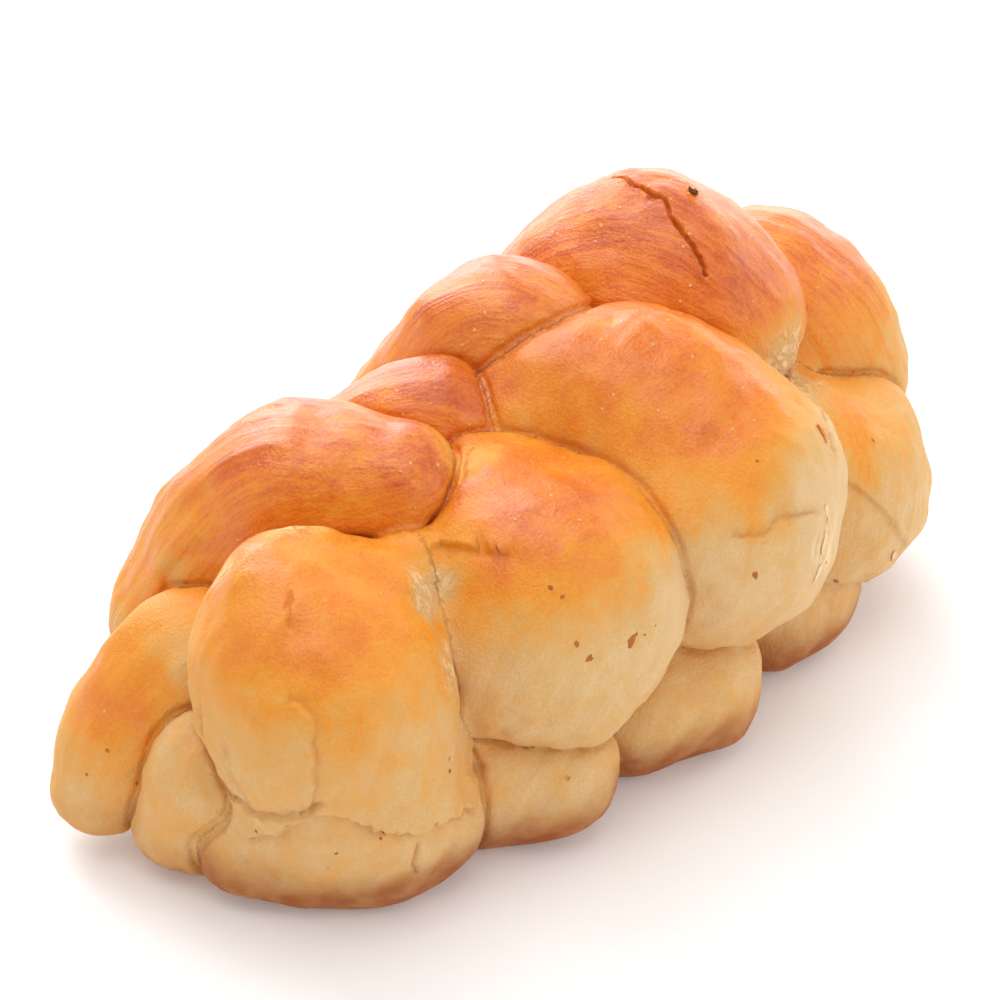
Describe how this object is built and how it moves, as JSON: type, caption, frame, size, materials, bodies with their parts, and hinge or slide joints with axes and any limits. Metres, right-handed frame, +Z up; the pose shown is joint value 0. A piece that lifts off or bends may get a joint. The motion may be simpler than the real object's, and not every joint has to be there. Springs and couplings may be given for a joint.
{
  "type": "braided loaf",
  "caption": "Plaited bread loaf of fat, soft lobes swelled together, slimmer and tapered at one end and blunt at the other, baked golden brown and resting on its flat underside.",
  "frame": {"origin": "centre of the loaf's box at the flat underside", "axes": "+X along the loaf from its slim tapered end to its blunt end, +Z up from the tray, +Y to the flank with the lobes that lie over the top"},
  "size_m": [0.2646, 0.1452, 0.12],
  "materials": {
    "crust": null
  },
  "bodies": {
    "root": {"loaf": "crust"}
  },
  "joints": []
}
